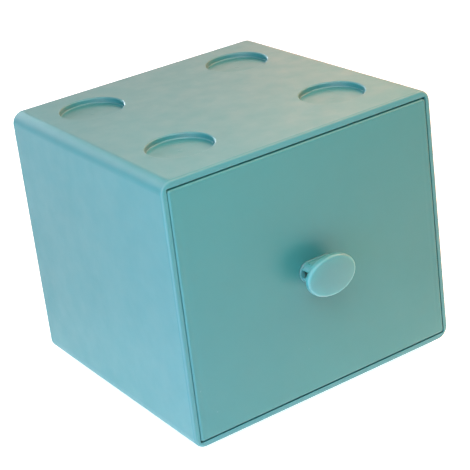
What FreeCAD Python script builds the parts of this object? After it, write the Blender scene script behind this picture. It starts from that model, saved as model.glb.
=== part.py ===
import FreeCAD, Part
import math
import os
import Sketcher

# Stackable desktop storage box: a moulded case, a drawer that slides out of its
# open front, and an oval knob that snaps into the drawer's front panel.
#
# Frame: millimetres, +Z up, front towards -Y, +X to the right as seen from the
# front. The origin is on the table, at the centre of the four feet.

# Driving dimensions: name, value in millimetres or degrees, meaning
SIZES = (
    ("case_width", "105.6", "case, width across the front at table height"),
    ("case_depth", "98", "case, front rim to back"),
    ("case_height", "91", "case, underside to top, without the feet"),
    ("case_wall", "1.9", "case, thickness of the sides and the back"),
    ("case_deck", "2.3", "case, thickness of the top"),
    ("case_base", "2.05", "case, thickness of the base"),
    ("side_draft", "0.6", "case and tray sides, draft towards the back, degrees"),
    ("side_lean", "0.5", "case, panel and tray sides, lean in towards the top, degrees"),
    ("corner_radius", "4.1", "case, outer radius of the four long edges"),
    ("opening_radius", "0.5", "case, radius of the same edges inside"),
    ("rim_round", "0.9", "case, rounding of the front rim's outer edge"),
    ("back_round", "0.35", "case, rounding of the back's outer edges"),
    ("recess_diameter", "22", "stacking recess, diameter"),
    ("recess_depth", "2", "stacking recess, depth"),
    ("recess_lip", "0.45", "stacking recess, rounding of its lip and its floor"),
    ("recess_side", "11.8", "case side at table height to the recess, at the front"),
    ("recess_front", "12.3", "front rim to the front recesses"),
    ("recess_back", "8.3", "back to the rear recesses"),
    ("stack_slack", "0.35", "foot to recess wall when stacked, all round"),
    ("stack_drop", "0.2", "foot to recess floor when stacked"),
    ("foot_round", "0.4", "foot, rounding of its lower edge"),
    ("gap_top", "0.6", "panel to the opening's top edge"),
    ("gap_side", "0.25", "panel to the opening's sides"),
    ("gap_bottom", "0.4", "panel to the opening's bottom edge"),
    ("panel_proud", "0.3", "panel face ahead of the front rim"),
    ("panel_thickness", "2", "drawer panel, thickness"),
    ("panel_corner", "1", "drawer panel, corner radius"),
    ("panel_round", "0.85", "drawer panel, rounding of its front edge"),
    ("tray_inset", "1.75", "panel side to the tray's side wall"),
    ("tray_wall", "1.5", "tray, wall and floor thickness"),
    ("tray_headroom", "5", "tray's top edge to the recesses above it"),
    ("tray_back_gap", "1.2", "tray to the case's back wall when shut"),
    ("tray_corner", "3", "tray, radius of its lower and rear edges"),
    ("tray_lip", "0.5", "tray, rounding of its top edge"),
    ("runner_width", "2", "runner rib under the tray, width"),
    ("runner_inset", "5", "tray side at the back to the runner's middle"),
    ("running_gap", "0.15", "runner to the case's floor"),
    ("head_width", "19", "knob head, width of the oval"),
    ("head_height", "13.6", "knob head, height of the oval"),
    ("head_edge", "2.15", "knob head, thickness at the oval's ends"),
    ("head_rise", "0.75", "knob head, rise of the domed face"),
    ("head_round", "0.95", "knob head, edge rounding"),
    ("knob_reach", "9.25", "panel face to the front of the knob"),
    ("neck_width", "12.8", "knob neck, width"),
    ("neck_height", "6.4", "knob neck, height"),
    ("ring_past_ends", "0.4", "knob ring on the panel, reach past the neck's round ends"),
    ("ring_past_flats", "0.45", "knob ring on the panel, reach past the neck's flats"),
    ("ring_thickness", "0.7", "knob ring on the panel, thickness"),
    ("ring_bridge", "1.8", "knob ring, length that joins the legs at each end of its slot"),
    ("ring_round", "0.15", "knob ring, rounding of its front edge"),
    ("neck_round", "0.4", "knob neck, rounding of the edges along the split"),
    ("root_round", "0.35", "knob neck, fillet where it meets the head"),
    ("split_height", "2.5", "split between the knob's two legs"),
    ("seat_at_ends", "0.4", "panel hole to the neck's round ends, which rest on the panel"),
    ("seat_at_flats", "0.3", "panel hole to the neck's flats, which rest on the panel"),
    ("leg_slack", "0.15", "knob leg to the hole's edge"),
    ("barb_length", "2.6", "knob barb, length behind the panel"),
    ("barb_width", "7", "knob barb, width"),
    ("barb_hook", "0.6", "knob barb, reach past the hole's edge"),
)

# How far a cut runs past the face that it opens
PAST = 5.0

# The largest part of a wall that the rounding of one of its edges may take,
# and the same where no other edge of that wall is rounded
ROUND_LIMIT = 0.45
LONE_ROUND_LIMIT = 0.7

# How near a point must be to a place to count as lying there
TOUCH = 0.001


class Size:
    """A length as a number, with the expression that binds it to the sheet."""

    def __init__(self, text, number):
        self.text = text
        self.number = number

    def __float__(self):
        return self.number

    def __add__(self, other):
        return self.with_other("+", other, self.number + float(other))

    def __sub__(self, other):
        return self.with_other("-", other, self.number - float(other))

    def __mul__(self, other):
        return self.with_other("*", other, self.number * float(other))

    def __truediv__(self, other):
        return self.with_other("/", other, self.number / float(other))

    def __neg__(self):
        return self * -1

    def with_other(self, sign, other, number):
        text = other.text if isinstance(other, Size) else "%g" % other
        return Size("(%s %s %s)" % (self.text, sign, text), number)


def tangent(angle):
    return Size("tan(%s)" % angle.text, math.tan(math.radians(angle.number)))


def cosine(angle):
    return Size("cos(%s)" % angle.text, math.cos(math.radians(angle.number)))


def smaller(first, second):
    return Size("min(%s; %s)" % (first.text, second.text), min(first.number, second.number))


class Layout:
    """The driving dimensions, and the places that pieces share, in the part's frame."""

    def __init__(self, sheet):
        for name, _, _ in SIZES:
            setattr(self, name, Size("Sizes." + name, float(sheet.get(name))))
        self.recess_radius = self.recess_diameter / 2
        self.foot_radius = self.recess_radius - self.stack_slack
        self.foot_height = self.recess_depth - self.stack_drop
        self.narrowing = tangent(self.side_draft)
        self.leaning = tangent(self.side_lean)

        self.row_x = self.case_width / 2 - self.recess_side - self.recess_radius
        rows_apart = self.case_depth - self.recess_front - self.recess_back - self.recess_diameter
        self.row_y = rows_apart / 2
        self.front = -(self.recess_front + self.recess_radius + self.row_y)
        self.back = self.front + self.case_depth

        self.underside = self.foot_height
        self.floor = self.underside + self.case_base
        self.top = self.underside + self.case_height
        self.ceiling = self.top - self.case_deck
        self.inside_back = self.back - self.case_wall
        self.opening_half = self.case_width / 2 - self.across(self.case_wall)

        self.panel_face = self.front - self.panel_proud
        self.panel_back = self.panel_face + self.panel_thickness
        self.panel_half = self.opening_half - self.gap_side
        self.panel_bottom = self.floor + self.gap_bottom
        self.panel_top = self.ceiling - self.gap_top
        self.panel_middle = (self.panel_bottom + self.panel_top) / 2
        self.tray_back = self.inside_back - self.tray_back_gap
        self.tray_top = self.ceiling - self.recess_depth - self.tray_headroom

        self.ring_width = self.neck_width + self.ring_past_ends * 2
        self.ring_height = self.neck_height + self.ring_past_flats * 2
        self.hole_width = self.neck_width - self.seat_at_ends * 2
        self.hole_height = self.neck_height - self.seat_at_flats * 2

    def across(self, wall):
        """The width across the box of a side wall's thickness."""
        return wall / cosine(self.side_draft) / cosine(self.side_lean)

    def half_width(self, half_at_front, y):
        """Half the width at table height, at depth y, of walls that lean in towards the back."""
        return half_at_front - (y - self.front) * self.narrowing

    def half_above(self, half_at_table, z):
        """Half the width, at height z, of walls that lean in towards the top."""
        return half_at_table - z * self.leaning

    def foot_centres(self):
        return [(x, y) for y in (-self.row_y, self.row_y) for x in (-self.row_x, self.row_x)]


def fill_sheet(doc):
    sheet = doc.addObject("Spreadsheet::Sheet", "Sizes")
    for row, (name, value, meaning) in enumerate(SIZES, start=1):
        sheet.set("A%d" % row, meaning)
        sheet.set("B%d" % row, value)
        sheet.setAlias("B%d" % row, name)
    doc.recompute()
    return sheet


def add_body(doc, label):
    body = doc.addObject("PartDesign::Body", label)
    body.Label = label
    return body


def origin_plane(body, role):
    return [item for item in body.Origin.OriginFeatures if item.Role == role][0]


def add_sketch(body, name, plane, height=None):
    """Add a sketch on one of the body's own planes, raised along its normal."""
    sketch = body.newObject("Sketcher::SketchObject", name)
    sketch.AttachmentSupport = [(origin_plane(body, plane), "")]
    sketch.MapMode = "FlatFace"
    if height is not None:
        sketch.setExpression("AttachmentOffset.Base.z", height.text)
    return sketch


def hold(sketch, kind, size, *where):
    """Add a dimension to a sketch and bind it."""
    index = sketch.addConstraint(Sketcher.Constraint(kind, *where, float(size)))
    name = "size%d" % index
    sketch.renameConstraint(index, name)
    sketch.setExpression("Constraints." + name, size.text)


def hold_point(sketch, edge, end, point):
    """Fix one point of an edge; a coordinate of None lies on the sketch's axis."""
    if point[0] is None:
        sketch.addConstraint(Sketcher.Constraint("PointOnObject", edge, end, -2))
    else:
        hold(sketch, "DistanceX", point[0], -1, 1, edge, end)
    if point[1] is None:
        sketch.addConstraint(Sketcher.Constraint("PointOnObject", edge, end, -1))
    else:
        hold(sketch, "DistanceY", point[1], -1, 1, edge, end)


def draw_polygon(sketch, points):
    """Draw a closed outline and fix each of its corners."""
    first = sketch.GeometryCount
    corners = [FreeCAD.Vector(float(x), float(y), 0) for x, y in points]
    for index, corner in enumerate(corners):
        sketch.addGeometry(Part.LineSegment(corners[index - 1], corner))
    for index, point in enumerate(points):
        following = first + (index + 1) % len(points)
        sketch.addConstraint(Sketcher.Constraint("Coincident", first + index, 2, following, 1))
        hold_point(sketch, first + index, 2, point)


def draw_rectangle(sketch, half_width, bottom, top):
    corners = [(-half_width, bottom), (half_width, bottom), (half_width, top), (-half_width, top)]
    draw_polygon(sketch, corners)


def draw_tapered(sketch, sizes, half_at_front, start, end):
    """Draw a plan outline at table height, whose sides lean in towards the back as the case's do."""
    near = sizes.half_width(half_at_front, start)
    far = sizes.half_width(half_at_front, end)
    draw_polygon(sketch, [(-near, start), (near, start), (far, end), (-far, end)])


def draw_circles(sketch, centres, radius):
    for x, y in centres:
        centre = FreeCAD.Vector(float(x), float(y), 0)
        circle = sketch.addGeometry(Part.Circle(centre, FreeCAD.Vector(0, 0, 1), float(radius)))
        hold(sketch, "Radius", radius, circle)
        hold_point(sketch, circle, 3, (x, y))


def draw_slot(sketch, width, height, middle=None):
    """Draw a round-ended slot about the sketch's upright axis."""
    reach = (width - height) / 2
    radius = height / 2
    level = 0.0 if middle is None else float(middle)
    arcs = []
    for sign, centre_x in ((1, reach), (-1, -reach)):
        centre = FreeCAD.Vector(float(centre_x), level, 0)
        circle = Part.Circle(centre, FreeCAD.Vector(0, 0, 1), float(radius))
        start = -math.pi / 2 if sign > 0 else math.pi / 2
        arc = sketch.addGeometry(Part.ArcOfCircle(circle, start, start + math.pi))
        hold(sketch, "Radius", radius, arc)
        hold_point(sketch, arc, 3, (centre_x, middle))
        arcs.append(arc)
    for one, other in (arcs, arcs[::-1]):
        start = sketch.getPoint(one, 2)
        end = sketch.getPoint(other, 1)
        line = sketch.addGeometry(Part.LineSegment(start, end))
        sketch.addConstraint(Sketcher.Constraint("Tangent", one, 2, line, 1))
        sketch.addConstraint(Sketcher.Constraint("Tangent", line, 2, other, 1))


def draw_oval(sketch, width, height):
    """Draw an ellipse about the sketch's origin, wider than it is high."""
    ends = FreeCAD.Vector(float(width) / 2, 0, 0), FreeCAD.Vector(0, float(height) / 2, 0)
    oval = sketch.addGeometry(Part.Ellipse(*ends, FreeCAD.Vector(0, 0, 0)))
    sketch.exposeInternalGeometry(oval)
    long_axis, short_axis = oval + 1, oval + 2
    sketch.addConstraint(Sketcher.Constraint("Coincident", oval, 3, -1, 1))
    sketch.addConstraint(Sketcher.Constraint("Horizontal", long_axis))
    hold(sketch, "Distance", width, long_axis)
    hold(sketch, "Distance", height, short_axis)


def add_feature(body, kind, name, profile):
    feature = body.newObject("PartDesign::" + kind, name)
    feature.Profile = profile
    return feature


def settle(body, feature, adds):
    """Rebuild, and check that the feature added or removed material as it should."""
    before = feature.BaseFeature.Shape.Volume if feature.BaseFeature else 0.0
    body.Document.recompute()
    change = feature.Shape.Volume - before
    if change * (1 if adds else -1) <= 0:
        raise ValueError("%s of %s changed the volume by %g" % (feature.Label, body.Label, change))


def extrude(body, kind, profile, length, backwards=False, both_ways=False):
    feature = add_feature(body, kind, kind + profile.Name, profile)
    feature.setExpression("Length", length.text)
    feature.Reversed = backwards
    if both_ways:
        feature.SideType = "Symmetric"
    settle(body, feature, adds=kind == "Pad")


def pad(body, profile, length, backwards=False, both_ways=False):
    extrude(body, "Pad", profile, length, backwards, both_ways)


def pocket(body, profile, length, backwards=False, both_ways=False):
    extrude(body, "Pocket", profile, length, backwards, both_ways)


def places(edge):
    """Points along an edge: its start, middle and end."""
    span = edge.LastParameter - edge.FirstParameter
    return [edge.valueAt(edge.FirstParameter + span * part) for part in (0, 0.5, 1)]


def lies_at(edge, axis, level):
    """True for an edge that lies wholly at one level of the x, y or z axis."""
    return all(abs(getattr(point, axis) - float(level)) < TOUCH for point in places(edge))


def runs_along_depth(edge, length):
    """True for an edge that runs front to back over at least the given length."""
    start, _, end = places(edge)
    return abs(start.y - end.y) > float(length) - TOUCH


def round_edges(body, name, radius, wanted):
    """Round those edges of the body's last feature that the test picks."""
    base = body.Tip
    edges = ["Edge%d" % number for number, edge in enumerate(base.Shape.Edges, start=1) if wanted(edge)]
    if not edges:
        raise ValueError("%s found no edges on %s" % (name, body.Label))
    fillet = body.newObject("PartDesign::Fillet", name)
    fillet.Base = (base, edges)
    fillet.setExpression("Radius", radius.text)
    body.Document.recompute()


def faces_sideways(face):
    """True for a face that looks more to the left or right than any other way."""
    normal = face.normalAt(0, 0)
    return abs(normal.x) > max(abs(normal.y), abs(normal.z))


def lean_sides(body, name, sizes, wanted, inside=False):
    """Lean those side faces of the body's last feature that the test picks in towards the top."""
    base = body.Tip
    faces = ["Face%d" % number for number, face in enumerate(base.Shape.Faces, start=1)
             if faces_sideways(face) and wanted(face)]
    draft = body.newObject("PartDesign::Draft", name)
    draft.Base = (base, faces)
    draft.NeutralPlane = (origin_plane(body, "XY_Plane"), [""])
    draft.Reversed = inside
    draft.setExpression("Angle", sizes.side_lean.text)
    settle(body, draft, adds=inside)


def nearer_middle(face, sizes, half_at_front):
    """True for a side face nearer the middle than a surface with the box's own lean."""
    centre = face.CenterOfMass
    at_table = float(half_at_front) - (centre.y - float(sizes.front)) * float(sizes.narrowing)
    return abs(centre.x) < at_table - centre.z * float(sizes.leaning)


def make_case(doc, sizes):
    """The outer case: one moulding with recesses in its top and feet below."""
    body = add_body(doc, "case")

    block = add_sketch(body, "Block", "XY_Plane", sizes.underside)
    draw_tapered(block, sizes, sizes.case_width / 2, sizes.front, sizes.back)
    pad(body, block, sizes.case_height)
    lean_sides(body, "BlockLean", sizes, lambda face: True)
    round_edges(body, "LongEdges", sizes.corner_radius,
                lambda edge: runs_along_depth(edge, sizes.case_depth))

    cavity = add_sketch(body, "Cavity", "XY_Plane", sizes.floor)
    draw_tapered(cavity, sizes, sizes.opening_half, sizes.front - PAST, sizes.inside_back)
    pocket(body, cavity, sizes.ceiling - sizes.floor, backwards=True)
    mid_wall = sizes.case_width / 2 - sizes.case_wall / 2
    lean_sides(body, "CavityLean", sizes, lambda face: nearer_middle(face, sizes, mid_wall), inside=True)

    add_recesses(body, sizes)
    add_feet(body, sizes)
    round_case(body, sizes)
    return body


def add_recesses(body, sizes):
    """Press four dimples of even wall into the top."""
    bosses = add_sketch(body, "Bosses", "XY_Plane", sizes.ceiling - sizes.recess_depth)
    draw_circles(bosses, sizes.foot_centres(), sizes.recess_radius + sizes.case_wall)
    pad(body, bosses, sizes.recess_depth + sizes.case_deck / 2)
    recesses = add_sketch(body, "Recesses", "XY_Plane", sizes.top)
    draw_circles(recesses, sizes.foot_centres(), sizes.recess_radius)
    pocket(body, recesses, sizes.recess_depth)


def add_feet(body, sizes):
    """Press four hollow feet of even wall out of the floor."""
    feet = add_sketch(body, "Feet", "XY_Plane")
    draw_circles(feet, sizes.foot_centres(), sizes.foot_radius)
    pad(body, feet, sizes.foot_height + sizes.case_base / 2)
    cups = add_sketch(body, "Cups", "XY_Plane", sizes.floor)
    draw_circles(cups, sizes.foot_centres(), sizes.foot_radius - sizes.case_wall)
    pocket(body, cups, sizes.foot_height)


def round_case(body, sizes):
    """Round what is rounded on the moulding: recesses, feet, opening, rim, back."""
    half_base = sizes.case_base * ROUND_LIMIT
    inside = float(sizes.opening_half) + TOUCH

    def in_recess(edge):
        round_one = isinstance(edge.Curve, Part.Circle)
        of_recess = round_one and abs(edge.Curve.Radius - float(sizes.recess_radius)) < TOUCH
        return of_recess and edge.CenterOfMass.z > float(sizes.ceiling) - float(sizes.recess_depth)

    def in_opening(edge):
        across = max(abs(point.x) for point in places(edge))
        return runs_along_depth(edge, sizes.inside_back - sizes.front) and across < inside

    def round_rim(edge):
        if not lies_at(edge, "y", sizes.front):
            return False
        middle = places(edge)[1]
        outside_z = middle.z < float(sizes.floor) - TOUCH or middle.z > float(sizes.ceiling) + TOUCH
        return outside_z or abs(middle.x) > inside

    lip = smaller(sizes.recess_lip, smaller(sizes.recess_depth, sizes.case_deck) * ROUND_LIMIT)
    round_edges(body, "RecessLips", lip, in_recess)
    round_edges(body, "FootEdges", smaller(sizes.foot_round, half_base),
                lambda edge: lies_at(edge, "z", sizes.underside - sizes.foot_height))
    round_edges(body, "OpeningEdges", sizes.opening_radius, in_opening)
    round_edges(body, "RimEdge", smaller(sizes.rim_round, sizes.case_wall * LONE_ROUND_LIMIT), round_rim)
    round_edges(body, "BackEdges", smaller(sizes.back_round, sizes.case_wall * ROUND_LIMIT),
                lambda edge: lies_at(edge, "y", sizes.back))


def make_drawer(doc, sizes):
    """The drawer: a flat front panel with an open-topped tray behind it."""
    body = add_body(doc, "drawer")

    panel = add_sketch(body, "Panel", "XZ_Plane", -sizes.panel_face)
    low = sizes.half_above(sizes.panel_half, sizes.panel_bottom)
    high = sizes.half_above(sizes.panel_half, sizes.panel_top)
    draw_polygon(panel, [(-low, sizes.panel_bottom), (low, sizes.panel_bottom),
                         (high, sizes.panel_top), (-high, sizes.panel_top)])
    pad(body, panel, sizes.panel_thickness, backwards=True)
    round_edges(body, "PanelCorners", sizes.panel_corner,
                lambda edge: runs_along_depth(edge, sizes.panel_thickness))
    round_edges(body, "PanelFront", smaller(sizes.panel_round, sizes.panel_thickness * ROUND_LIMIT),
                lambda edge: lies_at(edge, "y", sizes.panel_face))

    add_tray(body, sizes)
    add_runners(body, sizes)

    hole = add_sketch(body, "KnobHole", "XZ_Plane", -sizes.panel_back)
    draw_slot(hole, sizes.hole_width, sizes.hole_height, sizes.panel_middle)
    pocket(body, hole, sizes.panel_thickness + PAST, backwards=True)
    return body


def add_tray(body, sizes):
    """Add the tray behind the panel, round it and hollow it out."""
    half = sizes.panel_half - sizes.tray_inset
    tray = add_sketch(body, "Tray", "XY_Plane", sizes.panel_bottom)
    draw_tapered(tray, sizes, half, sizes.panel_back, sizes.tray_back)
    pad(body, tray, sizes.tray_top - sizes.panel_bottom)
    lean_sides(body, "TrayLean", sizes,
               lambda face: face.BoundBox.YMin > float(sizes.panel_back) - TOUCH)

    def outer_edge(edge):
        points = places(edge)
        if min(point.y for point in points) < float(sizes.panel_back) - TOUCH:
            return False
        at_bottom = lies_at(edge, "z", sizes.panel_bottom)
        at_panel = lies_at(edge, "y", sizes.panel_back)
        upright = abs(points[0].z - points[2].z) > float(sizes.tray_top - sizes.panel_bottom) - TOUCH
        return (at_bottom or upright) and not at_panel

    def inner_edge(edge):
        points = places(edge)
        at_floor = lies_at(edge, "z", sizes.panel_bottom + sizes.tray_wall)
        upright = abs(points[0].z - points[2].z) > abs(points[0].x - points[2].x) + TOUCH
        reach = float(sizes.tray_back - sizes.tray_wall) + TOUCH
        return (at_floor or (upright and points[1].z < float(sizes.tray_top) + TOUCH
                             and points[1].y < reach and hollow_side(edge)))

    def hollow_side(edge):
        middle = places(edge)[1]
        wall_inside = float(sizes.half_width(half - sizes.tray_wall, sizes.panel_back)) + TOUCH
        return abs(middle.x) < wall_inside and middle.y > float(sizes.panel_back) - TOUCH

    round_edges(body, "TrayEdges", sizes.tray_corner, outer_edge)
    hollow = add_sketch(body, "Hollow", "XY_Plane", sizes.panel_bottom + sizes.tray_wall)
    inner_half = half - sizes.across(sizes.tray_wall)
    draw_tapered(hollow, sizes, inner_half, sizes.panel_back, sizes.tray_back - sizes.tray_wall)
    pocket(body, hollow, sizes.tray_top - sizes.panel_bottom, backwards=True)
    lean_sides(body, "HollowLean", sizes,
               lambda face: face.BoundBox.YMin > float(sizes.panel_back) - TOUCH
               and nearer_middle(face, sizes, half - sizes.tray_wall / 2), inside=True)
    round_edges(body, "HollowEdges", sizes.tray_corner - sizes.tray_wall, inner_edge)
    round_edges(body, "TrayLip", smaller(sizes.tray_lip, sizes.tray_wall * ROUND_LIMIT),
                lambda edge: lies_at(edge, "z", sizes.tray_top)
                and not lies_at(edge, "y", sizes.panel_back))


def add_runners(body, sizes):
    """Add the two low ribs under the tray that run on the case's floor."""
    half = sizes.half_width(sizes.panel_half - sizes.tray_inset, sizes.tray_back)
    middle = half - sizes.runner_inset
    near = middle - sizes.runner_width / 2
    far = middle + sizes.runner_width / 2
    end = sizes.tray_back - sizes.tray_corner
    runners = add_sketch(body, "Runners", "XY_Plane", sizes.floor + sizes.running_gap)
    draw_polygon(runners, [(near, sizes.panel_back), (far, sizes.panel_back), (far, end), (near, end)])
    draw_polygon(runners, [(-near, sizes.panel_back), (-far, sizes.panel_back), (-far, end), (-near, end)])
    pad(body, runners, sizes.gap_bottom - sizes.running_gap + sizes.tray_wall / 2)


def make_knob(doc, sizes):
    """The knob, about the middle of the panel's face: head, neck, ring and legs."""
    body = add_body(doc, "knob")
    body.setExpression("Placement.Base.y", sizes.panel_face.text)
    body.setExpression("Placement.Base.z", sizes.panel_middle.text)

    head_back = sizes.knob_reach - sizes.head_edge - sizes.head_rise
    head = add_sketch(body, "Head", "XZ_Plane", head_back)
    draw_oval(head, sizes.head_width, sizes.head_height)
    pad(body, head, sizes.head_edge + sizes.head_rise)
    dome_head(body, sizes)
    round_edges(body, "HeadEdges", smaller(sizes.head_round, sizes.head_edge * ROUND_LIMIT),
                lambda edge: True)

    neck = add_sketch(body, "Neck", "XZ_Plane")
    draw_slot(neck, sizes.neck_width, sizes.neck_height)
    pad(body, neck, head_back + sizes.head_edge / 2)
    ring = add_sketch(body, "Ring", "XZ_Plane")
    draw_slot(ring, sizes.ring_width, sizes.ring_height)
    pad(body, ring, sizes.ring_thickness)

    add_legs(body, sizes)
    split_knob(body, sizes, head_back)
    return body


def dome_head(body, sizes):
    """Cut the head's face to a shallow sphere, by a turn about an upright axis through its centre.

    The profile lies on the far side of the axis, so the sphere's seam and poles stay off the face.
    """
    half = sizes.head_width / 2
    radius = (half * half + sizes.head_rise * sizes.head_rise) / (sizes.head_rise * 2)
    outer = half + PAST
    far = radius + PAST
    reach = math.asin(float(outer) / float(radius))

    dome = add_sketch(body, "Dome", "YZ_Plane")
    dome.setExpression("AttachmentOffset.Base.x", (radius - sizes.knob_reach).text)
    circle = Part.Circle(FreeCAD.Vector(0, 0, 0), FreeCAD.Vector(0, 0, 1), float(radius))
    arc = dome.addGeometry(Part.ArcOfCircle(circle, -reach, reach))
    hold(dome, "Radius", radius, arc)
    dome.addConstraint(Sketcher.Constraint("Coincident", arc, 3, -1, 1))
    hold(dome, "DistanceY", -outer, -1, 1, arc, 1)
    hold(dome, "DistanceY", outer, -1, 1, arc, 2)

    corners = [dome.getPoint(arc, 2), FreeCAD.Vector(float(far), float(outer), 0),
               FreeCAD.Vector(float(far), -float(outer), 0), dome.getPoint(arc, 1)]
    lines = [dome.addGeometry(Part.LineSegment(*pair)) for pair in zip(corners, corners[1:])]
    outline = [arc] + lines
    for one, following in zip(outline, outline[1:] + [arc]):
        dome.addConstraint(Sketcher.Constraint("Coincident", one, 2, following, 1))
    hold_point(dome, lines[0], 2, (far, outer))
    hold_point(dome, lines[1], 2, (far, -outer))

    groove = add_feature(body, "Groove", "DomeCut", dome)
    groove.ReferenceAxis = (dome, ["V_Axis"])
    groove.Angle = 360
    settle(body, groove, adds=False)


def add_legs(body, sizes):
    """Add the legs that pass through the panel, with a barb above and below."""
    leg_height = sizes.hole_height - sizes.leg_slack * 2
    legs = add_sketch(body, "Legs", "XZ_Plane")
    draw_slot(legs, sizes.hole_width - sizes.leg_slack * 2, leg_height)
    pad(body, legs, sizes.panel_thickness + sizes.barb_length, backwards=True)

    root = (leg_height + sizes.split_height) / 4
    hook = sizes.hole_height / 2 + sizes.barb_hook
    start = sizes.panel_thickness
    end = sizes.panel_thickness + sizes.barb_length
    barbs = add_sketch(body, "Barbs", "YZ_Plane")
    draw_polygon(barbs, [(start, root), (end, root), (start, hook)])
    draw_polygon(barbs, [(start, -root), (end, -root), (start, -hook)])
    pad(body, barbs, sizes.barb_width, both_ways=True)


def split_knob(body, sizes, head_back):
    """Split the neck and the legs, and open the ring between them."""
    half = sizes.split_height / 2
    leg_end = sizes.panel_thickness + sizes.barb_length + PAST
    split = add_sketch(body, "Split", "YZ_Plane")
    for near, far in ((-head_back, -sizes.ring_thickness), (sizes.panel_face * 0, leg_end)):
        draw_polygon(split, [(near, -half), (far, -half), (far, half), (near, half)])
    pocket(body, split, sizes.ring_width + PAST, both_ways=True)
    round_knob(body, sizes, head_back)
    slot = add_sketch(body, "RingSlot", "XZ_Plane", sizes.ring_thickness)
    draw_rectangle(slot, sizes.ring_width / 2 - sizes.ring_bridge, -half, half)
    pocket(body, slot, sizes.ring_thickness)


def round_knob(body, sizes, head_back):
    """Round the neck along the split, its root on the head, and the ring's front edge."""
    neck_length = head_back - sizes.ring_thickness
    overhang = smaller(sizes.ring_past_ends, sizes.ring_past_flats)

    def along_split(edge):
        within = places(edge)[1].y < -float(sizes.ring_thickness)
        level = abs(abs(edge.CenterOfMass.z) - float(sizes.split_height) / 2) < TOUCH
        return within and level and runs_along_depth(edge, neck_length)

    def neck_root(edge):
        return lies_at(edge, "y", -head_back) and near_neck(edge, sizes)

    def ring_front(edge):
        return lies_at(edge, "y", -sizes.ring_thickness) and not near_neck(edge, sizes)

    leg = (sizes.neck_height - sizes.split_height) / 2
    round_edges(body, "NeckEdges", smaller(sizes.neck_round, leg * ROUND_LIMIT), along_split)
    round_edges(body, "NeckRoots", smaller(sizes.root_round, sizes.split_height * ROUND_LIMIT), neck_root)
    round_edges(body, "RingEdge", smaller(sizes.ring_round, overhang * ROUND_LIMIT), ring_front)


def near_neck(edge, sizes):
    """True for an edge that stays within the neck's own width and height."""
    half_width = float(sizes.neck_width) / 2 + TOUCH
    half_height = float(sizes.neck_height) / 2 + TOUCH
    return all(abs(point.x) < half_width and abs(point.z) < half_height for point in places(edge))


def check(doc):
    """Stop if any object failed to rebuild or has an unsound shape."""
    doc.recompute()
    for item in doc.Objects:
        if {"Invalid", "Error"} & set(item.State):
            raise ValueError("%s is in state %s" % (item.Name, item.State))
        shape = getattr(item, "Shape", None)
        if shape is not None and (shape.isNull() or not shape.isValid()):
            raise ValueError("%s has no valid shape" % item.Name)


def export(bodies):
    os.makedirs("parts", exist_ok=True)
    for body in bodies:
        if len(body.Shape.Solids) != 1:
            raise ValueError("%s has %d solids" % (body.Label, len(body.Shape.Solids)))
        body.Shape.exportStep(os.path.join("parts", body.Label + ".step"))
        print("%-8s %8.0f mm3" % (body.Label, body.Shape.Volume))


document = FreeCAD.newDocument("StorageBox")
layout = Layout(fill_sheet(document))
pieces = [make_case(document, layout), make_drawer(document, layout), make_knob(document, layout)]
check(document)
export(pieces)
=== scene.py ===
import math

import bpy
from bpy.props import FloatProperty, FloatVectorProperty, PointerProperty
from mathutils import Matrix, Vector

bl_info = {
    "name": "Desktop storage box",
    "version": (1, 0, 0),
    "blender": (4, 5, 0),
    "location": "View3D > Sidebar > Storage Box",
    "description": "Finishes a moulded stacking box with a drawer, and sets it on a studio table",
    "category": "Object",
}

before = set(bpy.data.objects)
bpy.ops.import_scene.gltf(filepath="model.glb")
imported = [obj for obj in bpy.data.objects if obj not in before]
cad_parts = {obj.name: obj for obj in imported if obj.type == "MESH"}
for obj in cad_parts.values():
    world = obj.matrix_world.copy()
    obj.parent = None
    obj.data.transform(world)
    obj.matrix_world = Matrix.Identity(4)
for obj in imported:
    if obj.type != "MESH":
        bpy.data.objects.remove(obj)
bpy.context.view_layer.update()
MM = 0.001

# Middle of a stacking recess, and of the marks of ejector pins in the tray. Each stands for its
# mirror images too, left and right, front and back.
GATE_PLACE = (30 * MM, 27.7 * MM)
PIN_PLACES = ((36 * MM, 34 * MM), (36 * MM, 0), (12 * MM, 17 * MM))

# Where the tray's walls and floor meet the panel's back: distance from the middle at table
# height, how much less that gets with height, and the floor's height
SINK_SIDE = 48.15 * MM
SINK_LEAN = math.tan(math.radians(0.5))
SINK_FLOOR = 5 * MM

# How deep or high each relief is, and how wide its soft edge
WAVE_DEPTH = 0.1 * MM
GRAIN_DEPTH = 0.006 * MM
GATE_HEIGHT = 0.06 * MM
GATE_SOFT = 0.15 * MM
PIN_HEIGHT = 0.06 * MM
PIN_SOFT = 0.1 * MM
SINK_DEPTH = 0.03 * MM
SINK_SOFT = 1.1 * MM

# A noise pattern mostly stays between these two
NOISE_LOW = 0.3
NOISE_HIGH = 0.7

# Largest part of a surface's direction along one axis: on a flat face, and well round an edge
ON_A_FACE = 0.985
ON_AN_EDGE = 0.78

# A dust speck's core and rim as shares of the specks' spacing, and how strongly it shows
SPECK_CORE = 0.01
SPECK_RIM = 0.026
SPECK_SHOWS = 0.09

# How much less and more rough a smear makes a surface
SMEAR_GLOSSIER = 0.04
SMEAR_DULLER = 0.05

# Red light goes less far into aqua plastic than green and blue do
SCATTER = (0.3, 1.0, 1.0)

# Both polypropylene and acrylic bend light by about this much
PLASTIC_IOR = 1.49
SANDED_ROUGHNESS = 0.75
WHITE = (1, 1, 1, 1)

# The table's reach from the middle, the point that the softboxes face, the camera's sensor width
# in millimetres and the nearest distance that it sees
TABLE_REACH = 4.0
STUDIO_MIDDLE = Vector((0, 0, 45 * MM))
SENSOR_WIDTH = 36
NEAREST_SEEN = 10 * MM

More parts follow.
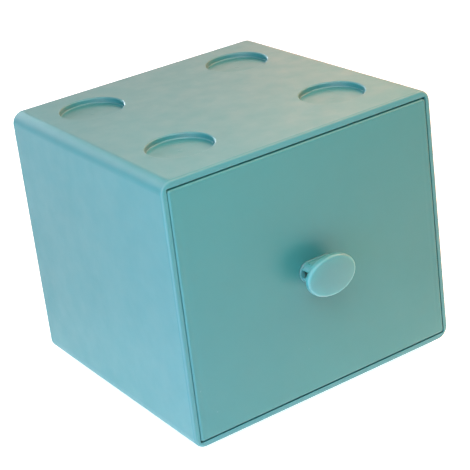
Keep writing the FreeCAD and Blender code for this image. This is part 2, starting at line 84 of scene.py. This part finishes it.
# Softboxes: name, heading from the front towards the right and height in degrees,
# distance and width in metres, watts, colour
SOFTBOXES = (
    ("softbox_rear", 180, 8, 0.75, 0.34, 7.7, "e6f2fc"),
    ("softbox_left_front", 325, 48, 0.34, 0.24, 1.24, "fcfeff"),
    ("softbox_left", 288, 8, 0.75, 0.34, 4.3, "bddcff"),
    ("softbox_left_low", 318, -10, 0.16, 0.06, 0.036, "70a8ff"),
    ("softbox_right", 75, 48, 0.34, 0.2, 0.86, "ffc79e"),
    ("softbox_right_low", 75, 22, 0.34, 0.2, 0.66, "ff8a5e"),
    ("softbox_right_front", 40, 48, 0.34, 0.2, 0.396, "ffb36d"),
    ("softbox_right_rear", 125, 22, 0.34, 0.2, 0.178, "ffaa6b"),
    ("softbox_far_right", 144, 35, 0.75, 0.34, 0.93, "ffd8ce"),
    ("softbox_back_right", 150, 22, 0.34, 0.2, 0.088, "ffb4b4"),
)


def linear(code):
    """Turn an sRGB hex colour into the linear red, green and blue that shaders use."""
    parts = [int(code[place:place + 2], 16) / 255 for place in (0, 2, 4)]
    return tuple(part / 12.92 if part <= 0.04045 else ((part + 0.055) / 1.055) ** 2.4 for part in parts)


def colour_setting(name, description, code):
    return FloatVectorProperty(name=name, description=description, default=linear(code),
                               subtype="COLOR", min=0, max=1)


def length_setting(name, description, millimetres):
    return FloatProperty(name=name, description=description, default=millimetres * MM,
                         subtype="DISTANCE", unit="LENGTH", precision=5)


def angle_setting(name, description, degrees):
    return FloatProperty(name=name, description=description, default=math.radians(degrees),
                         subtype="ANGLE", unit="ROTATION")


class PlasticSettings(bpy.types.PropertyGroup):
    """Colours and surface sizes of the moulded polypropylene."""

    case_colour: colour_setting("Case", "Pigment of the case moulding", "367b7e")
    # The drawer's tone is deeper than the case's partly as painted shade: it darkens the front panel
    # towards its shaded look
    drawer_colour: colour_setting("Drawer", "Pigment of the drawer moulding", "2e7676")
    knob_colour: colour_setting("Knob", "Pigment of the knob moulding", "458486")
    # Painted sheen: this pale tone, blended in on the rounded edges, stands in for the highlights that they
    # catch
    edge_sheen_colour: colour_setting("Edges", "Tone of the thin, rubbed skin on the edges", "b49c94")
    dust_colour: colour_setting("Dust", "Tone of the dust specks", "cfdad8")
    clouds: length_setting("Clouds", "Width of the patches where the pigment is paler or deeper", 22)
    speck: length_setting("Specks", "Spacing of dust and pigment specks", 11)
    smears: length_setting("Smears", "Width of the patches that are glossier or duller", 7)
    grain: length_setting("Grain", "Width of the mould's fine texture, drawn coarse to show", 0.6)
    waves: length_setting("Waves", "Length of the slow waves that shrinkage leaves in a flat wall", 38)
    pin: length_setting("Pins", "Diameter of the marks that ejector pins leave in the tray", 5)
    gate: length_setting("Gates", "Diameter of the nubs where the plastic entered the mould", 1.3)


class StudioSettings(bpy.types.PropertyGroup):
    """Camera place, table and air."""

    azimuth: angle_setting("Azimuth", "Camera's heading, clockwise from the box's depth", 31.685)
    elevation: angle_setting("Elevation", "How far the camera looks down", 23.484)
    roll: angle_setting("Roll", "How far the camera leans about its view axis", 7.343)
    distance: length_setting("Distance", "Camera to the point it looks at", 530.77)
    aim: FloatVectorProperty(name="Aim", description="Point in the middle of the view",
                             default=(0.573 * MM, -3.86 * MM, 44.349 * MM), subtype="TRANSLATION",
                             unit="LENGTH", precision=5)
    lens: FloatProperty(name="Lens", description="Focal length on a 36 mm sensor",
                        default=118.015, subtype="DISTANCE_CAMERA")
    table_colour: colour_setting("Table", "Colour of the pale table", "f8f8f7")
    sanding: length_setting("Sanding", "Width of the table's sanding marks, drawn coarse to show", 1.5)
    glow: FloatProperty(name="Glow", description="Light that the table gives off", default=0.4)
    # The stronger glow under and round the box is painted light that fills in the box's contact shadow
    shadow_filling_glow: FloatProperty(name="Glow near", description="The same under and round the box", default=0.85)
    glow_radius: length_setting("Glow radius", "How far from the middle the stronger glow reaches", 70)
    glow_soft: length_setting("Glow edge", "Width over which the stronger glow fades", 50)
    air: FloatProperty(name="Air", description="Strength of the even light from all round", default=0.15)


def add_node(tree, kind, links=(), **settings):
    """Add a node, give it its settings and inputs, and link what it reads."""
    node = tree.nodes.new(kind)
    for name, value in settings.items():
        if name == "inputs":
            for socket, number in value.items():
                node.inputs[socket].default_value = number
        else:
            setattr(node, name, value)
    for socket, source in links:
        tree.links.new(source, node.inputs[socket])
    return node


def new_material(name):
    material = bpy.data.materials.new(name)
    material.use_nodes = True
    material.node_tree.nodes.clear()
    return material, material.node_tree


def per_metre(length):
    """Texture scale that gives features of the given length."""
    return 1 / length


def opaque(colour):
    return tuple(colour) + (1.0,)


def tinted(colour, factor):
    return opaque(min(1.0, part * factor) for part in colour)


def disc_at(tree, place, centre, radius, soft):
    """One inside a disc seen from above, falling to nought over a soft edge."""
    flat = add_node(tree, "ShaderNodeVectorMath", [(0, place)], operation="MULTIPLY",
                    inputs={1: (1, 1, 0)})
    away = add_node(tree, "ShaderNodeVectorMath", [(0, flat.outputs[0])], operation="DISTANCE",
                    inputs={1: (centre[0], centre[1], 0)})
    disc = add_node(tree, "ShaderNodeMapRange", [("Value", away.outputs["Value"])],
                    interpolation_type="SMOOTHSTEP",
                    inputs={"From Min": radius + soft, "From Max": radius, "To Min": 0, "To Max": 1})
    return disc.outputs[0]


def edge_share(tree):
    """Nought on the flat faces, rising to one where a surface turns from one to the next."""
    normal = add_node(tree, "ShaderNodeTexCoord").outputs["Normal"]
    folded = add_node(tree, "ShaderNodeVectorMath", [(0, normal)], operation="ABSOLUTE")
    parts = add_node(tree, "ShaderNodeSeparateXYZ", [("Vector", folded.outputs[0])])
    level = add_node(tree, "ShaderNodeMath", [(0, parts.outputs["X"]), (1, parts.outputs["Y"])],
                     operation="MAXIMUM")
    largest = add_node(tree, "ShaderNodeMath", [(0, level.outputs[0]), (1, parts.outputs["Z"])],
                       operation="MAXIMUM")
    share = add_node(tree, "ShaderNodeMapRange", [("Value", largest.outputs[0])],
                     inputs={"From Min": ON_A_FACE, "From Max": ON_AN_EDGE, "To Min": 0, "To Max": 1})
    return share.outputs[0]


def pigment(tree, place, colour, mottle, settings):
    """Pigment that didn't mix quite evenly, with a few pale specks of dust."""
    clouds = add_node(tree, "ShaderNodeTexNoise", [("Vector", place)],
                      inputs={"Scale": per_metre(settings.clouds), "Detail": 3})
    uneven = add_node(tree, "ShaderNodeMix", [("Factor", clouds.outputs["Fac"])], data_type="RGBA",
                      inputs={"A": tinted(colour, 1 - mottle), "B": tinted(colour, 1 + mottle)})
    cells = add_node(tree, "ShaderNodeTexVoronoi", [("Vector", place)], feature="F1",
                     inputs={"Scale": per_metre(settings.speck)})
    dust = add_node(tree, "ShaderNodeMapRange", [("Value", cells.outputs["Distance"])],
                    inputs={"From Min": SPECK_CORE, "From Max": SPECK_RIM,
                            "To Min": SPECK_SHOWS, "To Max": 0})
    dusty = add_node(tree, "ShaderNodeMix",
                     [("Factor", dust.outputs[0]), ("A", uneven.outputs["Result"])],
                     data_type="RGBA", inputs={"B": opaque(settings.dust_colour)})
    return dusty.outputs["Result"]


def painted_sheen(tree, colour, turning, share, settings):
    """Blend a warm grey in on the rounded edges: a painted sheen that stands in for the highlights that
    they catch.
    """
    sheen_share = add_node(tree, "ShaderNodeMath", [(0, turning)], operation="MULTIPLY", inputs={1: share})
    mixed = add_node(tree, "ShaderNodeMix", [("Factor", sheen_share.outputs[0]), ("A", colour)],
                     data_type="RGBA", inputs={"B": opaque(settings.edge_sheen_colour)})
    return mixed.outputs["Result"]


def skin(tree, place, roughness, turning, worn, settings):
    """Roughness of a skin that is glossier in some places than in others, and duller on its edges."""
    smears = add_node(tree, "ShaderNodeTexNoise", [("Vector", place)],
                      inputs={"Scale": per_metre(settings.smears), "Detail": 4})
    faces = add_node(tree, "ShaderNodeMapRange", [("Value", smears.outputs["Fac"])],
                     inputs={"From Min": NOISE_LOW, "From Max": NOISE_HIGH,
                             "To Min": roughness - SMEAR_GLOSSIER, "To Max": roughness + SMEAR_DULLER})
    edges = add_node(tree, "ShaderNodeMath", [(0, turning)], operation="MULTIPLY", inputs={1: worn})
    both = add_node(tree, "ShaderNodeMath", [(0, faces.outputs[0]), (1, edges.outputs[0])],
                    operation="ADD")
    return both.outputs[0]


def relief(tree, place, settings):
    """Slow waves of shrinkage, under the fine texture of the tool.

    The real texture is finer. It is drawn coarser here, so that it shows.
    """
    waves = add_node(tree, "ShaderNodeTexNoise", [("Vector", place)],
                     inputs={"Scale": per_metre(settings.waves), "Detail": 1})
    wavy = add_node(tree, "ShaderNodeBump", [("Height", waves.outputs["Fac"])],
                    inputs={"Strength": 1, "Distance": WAVE_DEPTH})
    texture = add_node(tree, "ShaderNodeTexNoise", [("Vector", place)],
                       inputs={"Scale": per_metre(settings.grain), "Detail": 2})
    grainy = add_node(tree, "ShaderNodeBump",
                      [("Height", texture.outputs["Fac"]), ("Normal", wavy.outputs[0])],
                      inputs={"Strength": 1, "Distance": GRAIN_DEPTH})
    return grainy.outputs[0]


def polypropylene(name, colour, roughness=0.42, mottle=0.04, depth=2.5 * MM, share=0.3, edges=0.1,
                  worn=0.1, marks=None):
    """Pigmented polypropylene, injection moulded in a lightly textured tool.

    The eye sees an even satin skin with a soft broad sheen, walls that are not quite
    flat, and light that sinks a little way in, which keeps the shadows rich.
    """
    settings = bpy.context.scene.box_plastic
    material, tree = new_material(name)
    place = add_node(tree, "ShaderNodeTexCoord").outputs["Object"]
    turning = edge_share(tree)
    normal = relief(tree, place, settings)
    if marks is not None:
        normal = marks(tree, place, settings, normal)
    # Painted sheen: the rounded edges are blended towards a pale tone that stands in for their highlights
    tone = painted_sheen(tree, pigment(tree, place, colour, mottle, settings), turning, edges, settings)
    gloss = skin(tree, place, roughness, turning, worn, settings)
    surface = add_node(tree, "ShaderNodeBsdfPrincipled",
                       [("Base Color", tone), ("Roughness", gloss), ("Normal", normal)],
                       inputs={"IOR": PLASTIC_IOR, "Subsurface Weight": share,
                               "Subsurface Radius": SCATTER, "Subsurface Scale": depth})
    add_node(tree, "ShaderNodeOutputMaterial", [("Surface", surface.outputs[0])])
    return material


def case_marks(tree, place, settings, normal):
    """Nubs where the plastic entered the mould, one in the middle of each recess."""
    folded = add_node(tree, "ShaderNodeVectorMath", [(0, place)], operation="ABSOLUTE")
    nub = disc_at(tree, folded.outputs[0], GATE_PLACE, settings.gate / 2, GATE_SOFT)
    marked = add_node(tree, "ShaderNodeBump", [("Height", nub), ("Normal", normal)],
                      inputs={"Strength": 1, "Distance": GATE_HEIGHT})
    return marked.outputs[0]


def sink_line(tree, place, direction, level, normal):
    """A faint hollow, as wide as the wall behind it, where a place's share of a direction has a level."""
    along = add_node(tree, "ShaderNodeVectorMath", [(0, place)], operation="DOT_PRODUCT",
                     inputs={1: direction})
    off = add_node(tree, "ShaderNodeMath", [(0, along.outputs["Value"])], operation="SUBTRACT",
                   inputs={1: level})
    away = add_node(tree, "ShaderNodeMath", [(0, off.outputs[0])], operation="ABSOLUTE")
    hollow = add_node(tree, "ShaderNodeMapRange", [("Value", away.outputs[0])],
                      interpolation_type="SMOOTHSTEP",
                      inputs={"From Min": 0, "From Max": SINK_SOFT, "To Min": 0, "To Max": 1})
    sunk = add_node(tree, "ShaderNodeBump", [("Height", hollow.outputs[0]), ("Normal", normal)],
                    inputs={"Strength": 1, "Distance": SINK_DEPTH})
    return sunk.outputs[0]


def drawer_marks(tree, place, settings, normal):
    """Discs that the ejector pins leave in the tray, and faint sink lines before its walls."""
    folded = add_node(tree, "ShaderNodeVectorMath", [(0, place)], operation="ABSOLUTE").outputs[0]
    normal = sink_line(tree, folded, (1, 0, SINK_LEAN), SINK_SIDE, normal)
    normal = sink_line(tree, folded, (0, 0, 1), SINK_FLOOR, normal)
    for centre in PIN_PLACES:
        disc = disc_at(tree, folded, centre, settings.pin / 2, PIN_SOFT)
        marked = add_node(tree, "ShaderNodeBump", [("Height", disc), ("Normal", normal)],
                          inputs={"Strength": 1, "Distance": PIN_HEIGHT})
        normal = marked.outputs[0]
    return normal


def case_plastic():
    """The case's moulding, which shows the gates' nubs in its recesses."""
    settings = bpy.context.scene.box_plastic
    return polypropylene("case_moulded_polypropylene", settings.case_colour, marks=case_marks)


def drawer_plastic():
    """The drawer's moulding, a deeper tone that partly paints the front panel's shade, with less painted
    sheen on its edges.
    """
    settings = bpy.context.scene.box_plastic
    return polypropylene("drawer_moulded_polypropylene", settings.drawer_colour, edges=0.04,
                         marks=drawer_marks)


def knob_plastic():
    """The knob's own moulding: the same plastic with less pigment, so light shines through it and its edges
    glow, partly by deep scattering and partly by a painted sheen blended into their colour.
    """
    settings = bpy.context.scene.box_plastic
    return polypropylene("knob_moulded_polypropylene", settings.knob_colour, roughness=0.3,
                         mottle=0.02, depth=7 * MM, share=1, edges=0.08, worn=0.04)


def table_acrylic():
    """Opal acrylic, cast and sanded: a matt white sheet that glows a little and lifts the shadows on it,
    and glows more under and round the box, painted light that fills in the box's contact shadow.

    The sanding is drawn coarser than the real one, so that it shows.
    """
    studio = bpy.context.scene.box_studio
    material, tree = new_material("table_opal_acrylic")
    place = add_node(tree, "ShaderNodeTexCoord").outputs["Object"]
    sanded = add_node(tree, "ShaderNodeTexNoise", [("Vector", place)],
                      inputs={"Scale": per_metre(studio.sanding), "Detail": 2})
    matt = add_node(tree, "ShaderNodeBump", [("Height", sanded.outputs["Fac"])],
                    inputs={"Strength": 1, "Distance": GRAIN_DEPTH})
    # Painted light: a disc under and round the box where the table glows more, filling in the box's contact
    # shadow
    near = disc_at(tree, place, (0, 0), studio.glow_radius, studio.glow_soft)
    glow = add_node(tree, "ShaderNodeMapRange", [("Value", near)],
                    inputs={"From Min": 0, "From Max": 1,
                            "To Min": studio.glow, "To Max": studio.shadow_filling_glow})
    surface = add_node(tree, "ShaderNodeBsdfPrincipled",
                       [("Normal", matt.outputs[0]), ("Emission Strength", glow.outputs[0])],
                       inputs={"Base Color": opaque(studio.table_colour), "IOR": PLASTIC_IOR,
                               "Roughness": SANDED_ROUGHNESS, "Emission Color": WHITE})
    add_node(tree, "ShaderNodeOutputMaterial", [("Surface", surface.outputs[0])])
    return material


def set_material(node, material):
    """Give a CAD node's object one material on all its faces."""
    for slot in node.material_slots:
        slot.material = material


def add_object(name, data):
    piece = bpy.data.objects.new(name, data)
    bpy.context.scene.collection.objects.link(piece)
    return piece


def add_softbox(name, place, size, power, code):
    """Add a soft square light that faces the box and that the camera doesn't see."""
    light = bpy.data.lights.new(name, "AREA")
    light.shape = "SQUARE"
    light.size = size
    light.energy = power
    light.color = linear(code)
    lamp = add_object(name, light)
    lamp.location = place
    lamp.rotation_euler = (STUDIO_MIDDLE - place).to_track_quat("-Z", "Y").to_euler()
    lamp.visible_camera = False


class BOX_OT_case(bpy.types.Operator):
    """Finish the case moulding"""

    bl_idname = "box.case"
    bl_label = "Case"

    def execute(self, context):
        set_material(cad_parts["case"], case_plastic())
        return {"FINISHED"}


class BOX_OT_drawer(bpy.types.Operator):
    """Finish the drawer moulding"""

    bl_idname = "box.drawer"
    bl_label = "Drawer"

    def execute(self, context):
        set_material(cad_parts["drawer"], drawer_plastic())
        return {"FINISHED"}


class BOX_OT_knob(bpy.types.Operator):
    """Finish the knob moulding"""

    bl_idname = "box.knob"
    bl_label = "Knob"

    def execute(self, context):
        set_material(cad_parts["knob"], knob_plastic())
        return {"FINISHED"}


class BOX_OT_studio(bpy.types.Operator):
    """Set up the table, the lights and the camera"""

    bl_idname = "box.studio"
    bl_label = "Studio"

    def execute(self, context):
        add_table()
        add_air(context.scene)
        add_lights()
        add_camera(context.scene)
        return {"FINISHED"}


def add_table():
    mesh = bpy.data.meshes.new("table")
    corners = [(x * TABLE_REACH, y * TABLE_REACH, 0) for x, y in ((-1, -1), (1, -1), (1, 1), (-1, 1))]
    mesh.from_pydata(corners, [], [(0, 1, 2, 3)])
    table = add_object("table", mesh)
    mesh.materials.append(table_acrylic())


def add_air(scene):
    """Even white light from all round."""
    world = bpy.data.worlds.new("studio_air")
    scene.world = world
    world.use_nodes = True
    air = world.node_tree.nodes["Background"]
    air.inputs["Color"].default_value = WHITE
    air.inputs["Strength"].default_value = scene.box_studio.air


def add_lights():
    """Softboxes round the box, cool on its left and warm on its right."""
    for name, heading, height, distance, size, power, code in SOFTBOXES:
        around, up = math.radians(heading), math.radians(height)
        away = Vector((math.sin(around) * math.cos(up), -math.cos(around) * math.cos(up), math.sin(up)))
        add_softbox(name, STUDIO_MIDDLE + away * distance, size, power, code)


def add_camera(scene):
    studio = scene.box_studio
    camera = bpy.data.cameras.new("camera")
    camera.lens = studio.lens
    camera.sensor_width = SENSOR_WIDTH
    camera.clip_start = NEAREST_SEEN
    eye = add_object("camera", camera)
    level = math.cos(studio.elevation)
    ahead = Vector((math.sin(studio.azimuth) * level, math.cos(studio.azimuth) * level,
                    -math.sin(studio.elevation)))
    turn = ahead.to_track_quat("-Z", "Y").to_matrix().to_4x4()
    place = Matrix.Translation(Vector(studio.aim) - ahead * studio.distance)
    eye.matrix_world = place @ turn @ Matrix.Rotation(-studio.roll, 4, "Z")
    scene.camera = eye


class BOX_PT_panel(bpy.types.Panel):
    """Settings and steps of the storage box"""

    bl_idname = "BOX_PT_panel"
    bl_label = "Storage Box"
    bl_space_type = "VIEW_3D"
    bl_region_type = "UI"
    bl_category = "Storage Box"

    def draw(self, context):
        layout = self.layout
        for settings in (context.scene.box_plastic, context.scene.box_studio):
            for name in settings.bl_rna.properties.keys():
                if name not in ("rna_type", "name"):
                    layout.prop(settings, name)
        for step in STEPS:
            layout.operator(step.bl_idname)


STEPS = (BOX_OT_studio, BOX_OT_case, BOX_OT_drawer, BOX_OT_knob)
CLASSES = (PlasticSettings, StudioSettings) + STEPS + (BOX_PT_panel,)


def register():
    for item in CLASSES:
        bpy.utils.register_class(item)
    bpy.types.Scene.box_plastic = PointerProperty(type=PlasticSettings)
    bpy.types.Scene.box_studio = PointerProperty(type=StudioSettings)


def unregister():
    del bpy.types.Scene.box_studio
    del bpy.types.Scene.box_plastic
    for item in reversed(CLASSES):
        bpy.utils.unregister_class(item)


def main():
    register()
    bpy.context.scene.view_settings.view_transform = "Standard"
    for step in STEPS:
        name = step.bl_idname.split(".")[1]
        getattr(bpy.ops.box, name)()


if __name__ == "__main__":
    main()
